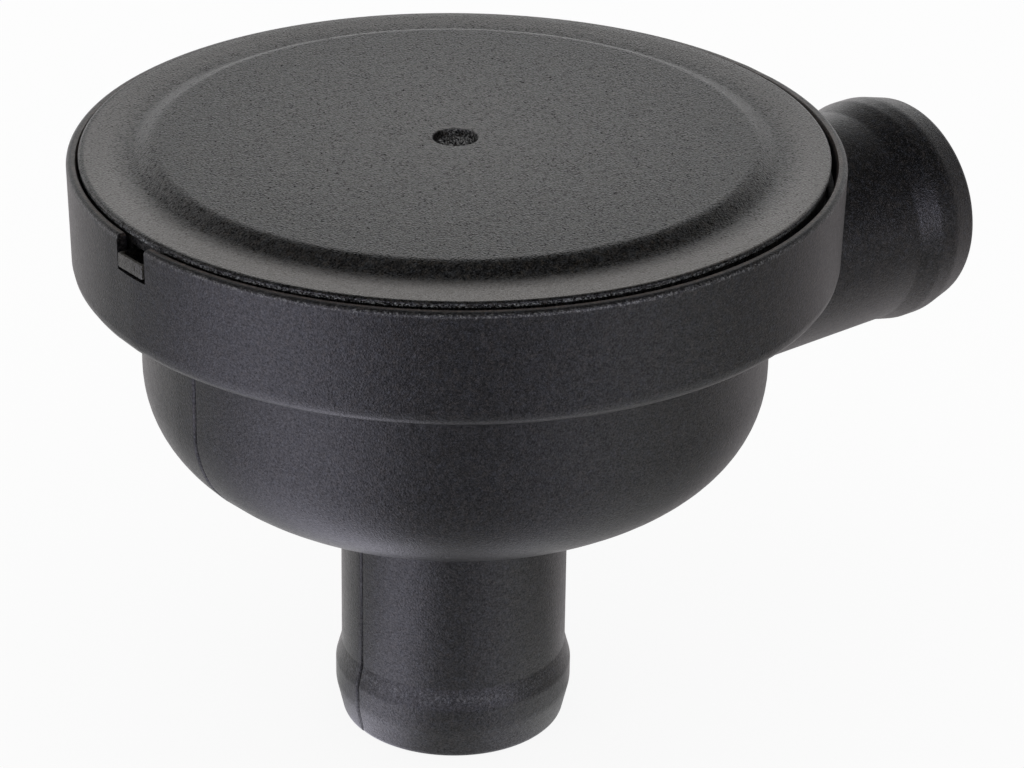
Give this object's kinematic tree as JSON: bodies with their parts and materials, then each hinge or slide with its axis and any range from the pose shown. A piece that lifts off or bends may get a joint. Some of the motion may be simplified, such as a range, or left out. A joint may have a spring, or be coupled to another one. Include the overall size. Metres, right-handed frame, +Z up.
{
  "type": "crankcase ventilation valve",
  "caption": "Round crankcase ventilation valve: bowl-shaped housing with a snap-in lid, a lower and a side hose spigot, and a spring-loaded diaphragm inside.",
  "frame": {"origin": "centre of the lower spigot's end face, on the valve's main axis", "axes": "+Z up the main axis towards the lid, +X along the side spigot, away from the housing"},
  "size_m": [0.1063, 0.0814, 0.0681],
  "materials": {
    "body_polyamide": "finely eroded black moulding",
    "lid_polyamide": "grained black moulding",
    "diaphragm_rubber": "matt",
    "cup_polyamide": "smooth moulding",
    "plate_acetal": "smooth moulding",
    "clip_steel": "stamped spring steel",
    "spring_steel": "drawn wire",
    "washer_steel": "zinc plated"
  },
  "bodies": {
    "housing": {"valve_body": "body_polyamide", "lid": "lid_polyamide", "diaphragm": "diaphragm_rubber", "regulating_spring": "spring_steel", "spring_washer": "washer_steel"},
    "plate": {"diaphragm_cup": "cup_polyamide", "valve_plate": "plate_acetal", "plate_clip": "clip_steel"}
  },
  "joints": [
    {"name": "plate_lift", "type": "slide", "parent": "housing", "child": "plate", "axis": [0, 0, 1], "range_m": [-0.005, 0], "stiffness_N_per_m": 500, "springref_m": 0.006, "deforming": ["regulating_spring", "diaphragm"]}
  ]
}
